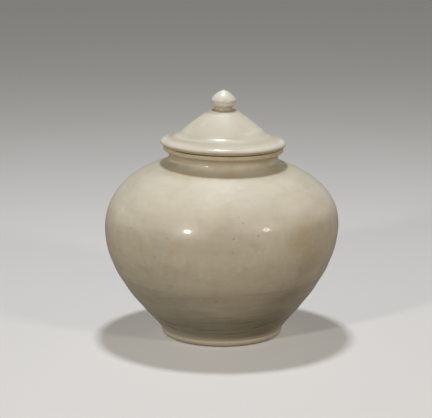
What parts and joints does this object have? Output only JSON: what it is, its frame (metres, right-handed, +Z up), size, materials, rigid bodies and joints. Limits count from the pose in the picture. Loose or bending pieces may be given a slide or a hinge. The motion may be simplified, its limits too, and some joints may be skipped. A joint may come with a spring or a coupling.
{
  "type": "lidded porcelain jar",
  "caption": "Round-shouldered porcelain jar on a narrow foot, with a flared lip and a lift-off domed cover that has a flat brim, an inner locating flange and a bud knob.",
  "frame": {"origin": "centre of the base, on the plane that the foot ring stands on", "axes": "+Z up along the axis the jar was turned on, through the knob; -Y towards the viewer of the picture, +X to the viewer's right"},
  "size_m": [0.2078, 0.2078, 0.22],
  "materials": {
    "body_glaze": "warm ivory glaze, softly glossy, with faint throwing lines, a warm brown stain and fine dark specks; bare foot ring",
    "cover_glaze": "warm ivory glaze, softly glossy, a little paler than the jar",
    "knob_glaze": "warm ivory glaze, glossy, pooled a little darker at the knob's foot"
  },
  "bodies": {
    "jar": {"jar": "body_glaze"},
    "lid": {"lid": "cover_glaze", "lid_knob": "knob_glaze"}
  },
  "joints": [
    {"name": "lid_lift", "type": "slide", "parent": "jar", "child": "lid", "axis": [0, 0, 1], "range_m": [0, 0.12]}
  ]
}
